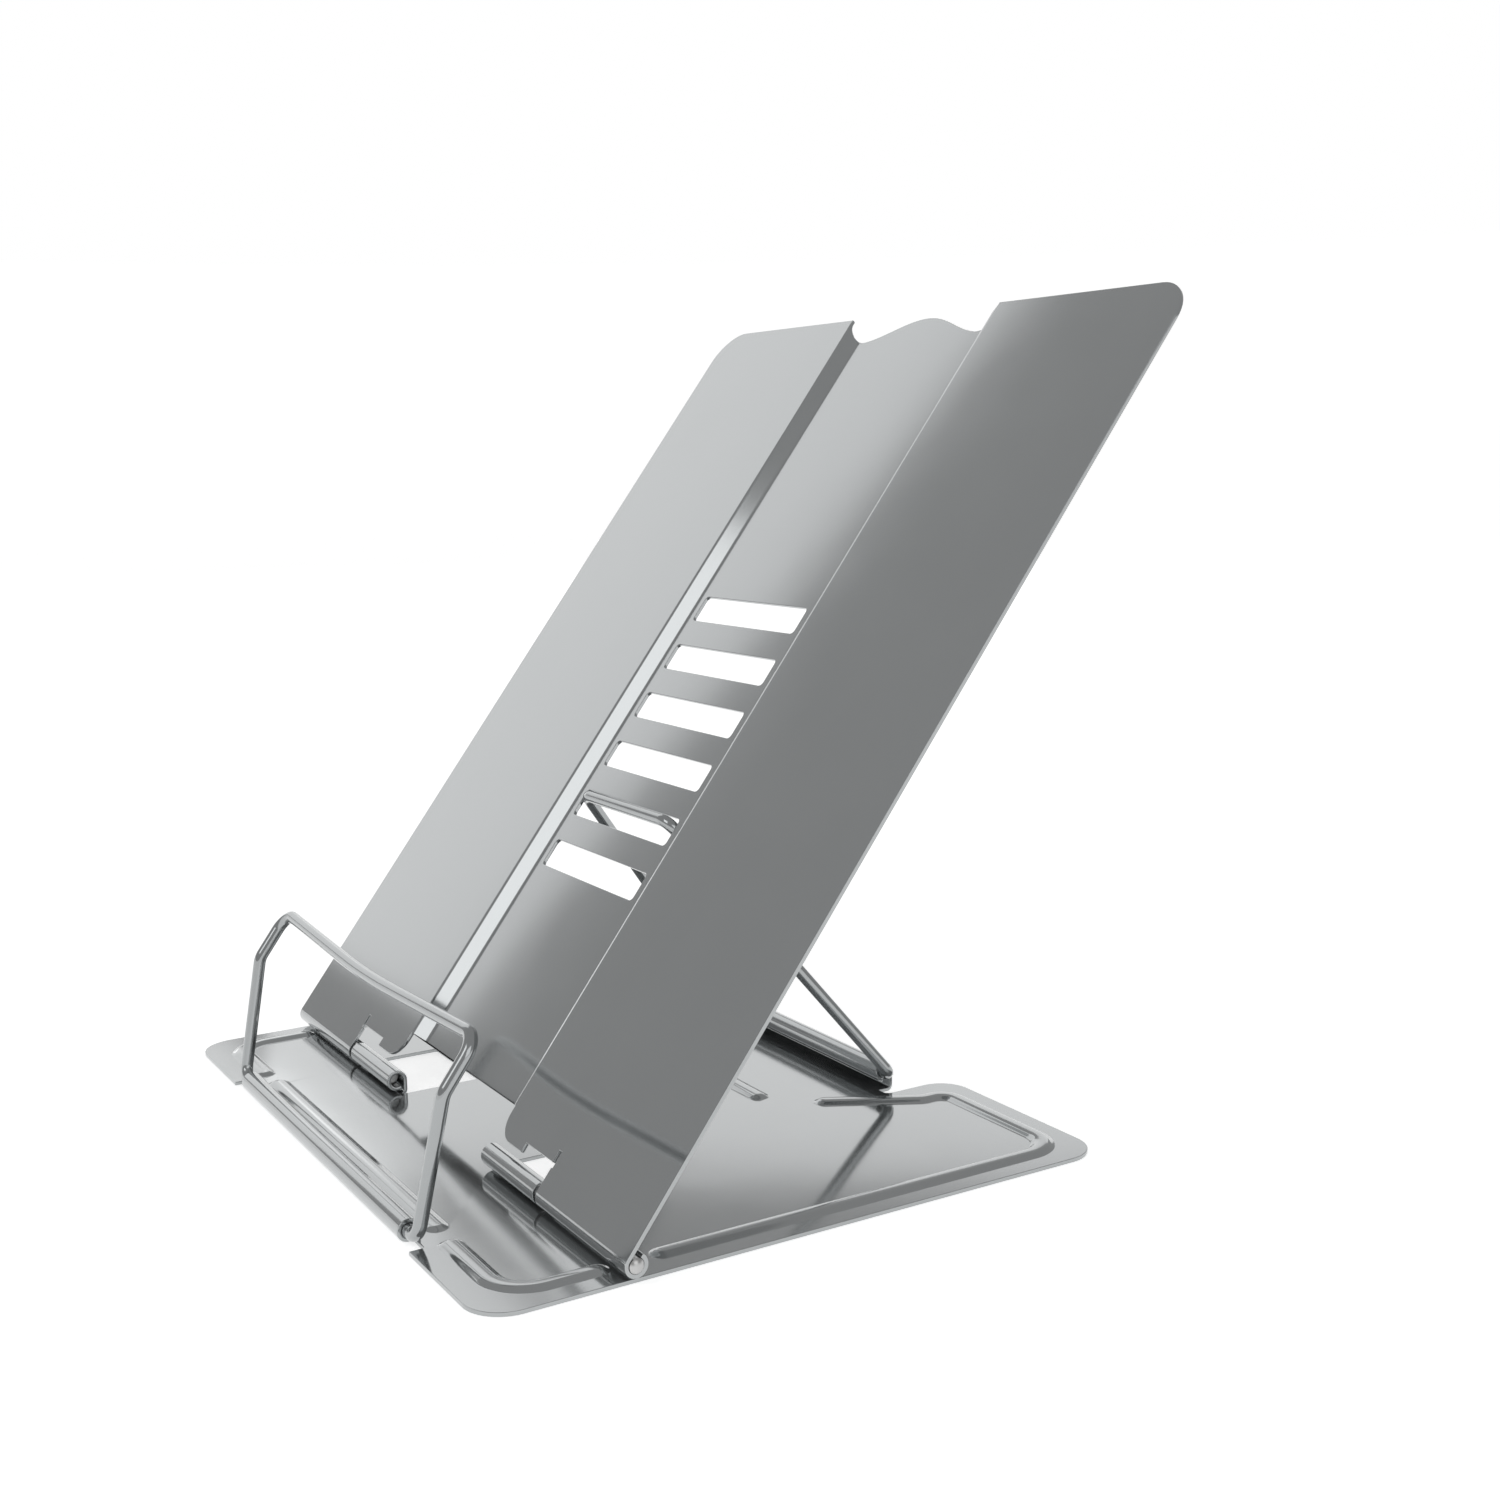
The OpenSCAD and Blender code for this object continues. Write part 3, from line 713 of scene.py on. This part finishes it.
# Floor, light and camera
def floor():
    """A white studio floor that turns up into a low white wall all round."""
    radius = 2.6
    deselect_all()
    bpy.ops.mesh.primitive_circle_add(vertices=96, radius=radius, fill_type="NGON", location=(0, 0, -0.0001))
    obj = bpy.context.object
    obj.name = obj.data.name = "studio_floor"
    settle(obj)
    pick(obj, "edges", lambda a, b: True)
    for out, rise in ((0.16, 0.03), (0.13, 0.09), (0.09, 0.13), (0.03, 0.16), (0.0, 0.1)):
        extrude(Z * rise)
        bpy.ops.transform.resize(value=(1 + out / radius, 1 + out / radius, 1))
    # The disc went up with its rim: the studio has no ceiling
    bpy.ops.mesh.delete(type="ONLY_FACE")
    leave_edit()
    make_active(obj)
    bpy.ops.object.shade_smooth()
    paint = Paint("studio_white")
    # Seen directly or in the enamel it glows a little, so it stays white round the soft shadow
    seen = (paint.node("ShaderNodeLightPath", {}, {}, "Is Camera Ray")
            + paint.node("ShaderNodeLightPath", {}, {}, "Is Glossy Ray"))
    paint.set(Base_Color=rgb(0.9, 0.9, 0.9), Roughness=0.9, Specular_IOR_Level=0.1,
              Emission_Color=paint.mix(seen, rgb(0, 0, 0), rgb(0.62, 0.62, 0.62)), Emission_Strength=1.0)
    paint.material.cycles.emission_sampling = "NONE"
    obj.data.materials.append(paint.material)


def world():
    """The studio over its white wall: grey light from all round, white where the camera sees it."""
    bg = bpy.data.worlds.new("studio")
    bpy.context.scene.world = bg
    bg.use_nodes = True
    tree = bg.node_tree
    seen = tree.nodes.new("ShaderNodeLightPath")
    level = tree.nodes.new("ShaderNodeMath")
    level.operation = "MULTIPLY_ADD"
    tree.links.new(seen.outputs["Is Camera Ray"], level.inputs[0])
    level.inputs[1].default_value, level.inputs[2].default_value = 0.6, 0.4
    tree.links.new(level.outputs[0], tree.nodes["Background"].inputs["Strength"])
    tree.nodes["Background"].inputs["Color"].default_value = (1, 1, 1, 1)


# The point between panel and base that the lamps are aimed at
MIDDLE = Vector((0, 0.02, 0.08))


def softbox(name, azimuth, elevation, distance, wide, high, radiance, roll):
    """A lamp seen from the stand in a direction, that spans so many degrees, tilted by roll."""
    light = bpy.data.lights.new(name, "AREA")
    width, height = (2 * distance * math.tan(math.radians(d / 2)) for d in (wide, high))
    light.shape, light.size, light.size_y = "RECTANGLE", width, height
    light.energy = radiance * math.pi * width * height
    obj = bpy.data.objects.new(name, light)
    bpy.context.scene.collection.objects.link(obj)
    obj.visible_camera = False
    away = towards(azimuth, elevation, distance)
    turn = (-away).to_track_quat("-Z", "Y").to_matrix() @ Matrix.Rotation(math.radians(roll), 3, "Z")
    obj.matrix_world = Matrix.Translation(MIDDLE + away) @ turn.to_4x4()


def camera():
    yaw, pitch, tip = (math.radians(a) for a in (-58.8378, -9.1153, -1.0300))
    forward = Vector((math.sin(yaw) * math.cos(pitch), math.cos(yaw) * math.cos(pitch), math.sin(pitch)))
    right = Vector((math.cos(yaw), -math.sin(yaw), 0))
    up = right.cross(forward)
    right, up = (math.cos(tip) * right + math.sin(tip) * up,
                 -math.sin(tip) * right + math.cos(tip) * up)
    data = bpy.data.cameras.new("camera")
    data.sensor_width, data.lens = 36, 1850.77 / 1500 * 36
    data.clip_start, data.clip_end = 0.01, 50
    obj = bpy.data.objects.new("camera", data)
    bpy.context.scene.collection.objects.link(obj)
    turn = Matrix((right, up, -forward)).transposed().to_4x4()
    obj.matrix_world = Matrix.Translation((0.418757, -0.207822, 0.166224)) @ turn
    bpy.context.scene.camera = obj


def towards(azimuth, elevation, distance):
    """A place seen from the stand in a direction: azimuth from +Y towards +X, elevation above the floor."""
    a, e = math.radians(azimuth), math.radians(elevation)
    return Vector((math.sin(a) * math.cos(e), math.cos(a) * math.cos(e), math.sin(e))) * distance


floor()
world()
softbox("left_softbox", -89.6, 23.8, 2.2, 28.6, 43.7, 0.78, 38)
softbox("rear_softbox", -56.5, 14.3, 2.3, 39, 13.6, 0.72, 0)
softbox("front_softbox", 173, 42, 1.9, 24, 28, 1.5, 0)
softbox("right_softbox", 92, 28, 1.8, 40, 36, 1.0, 0)
camera()
bpy.context.scene.view_settings.view_transform = "Standard"
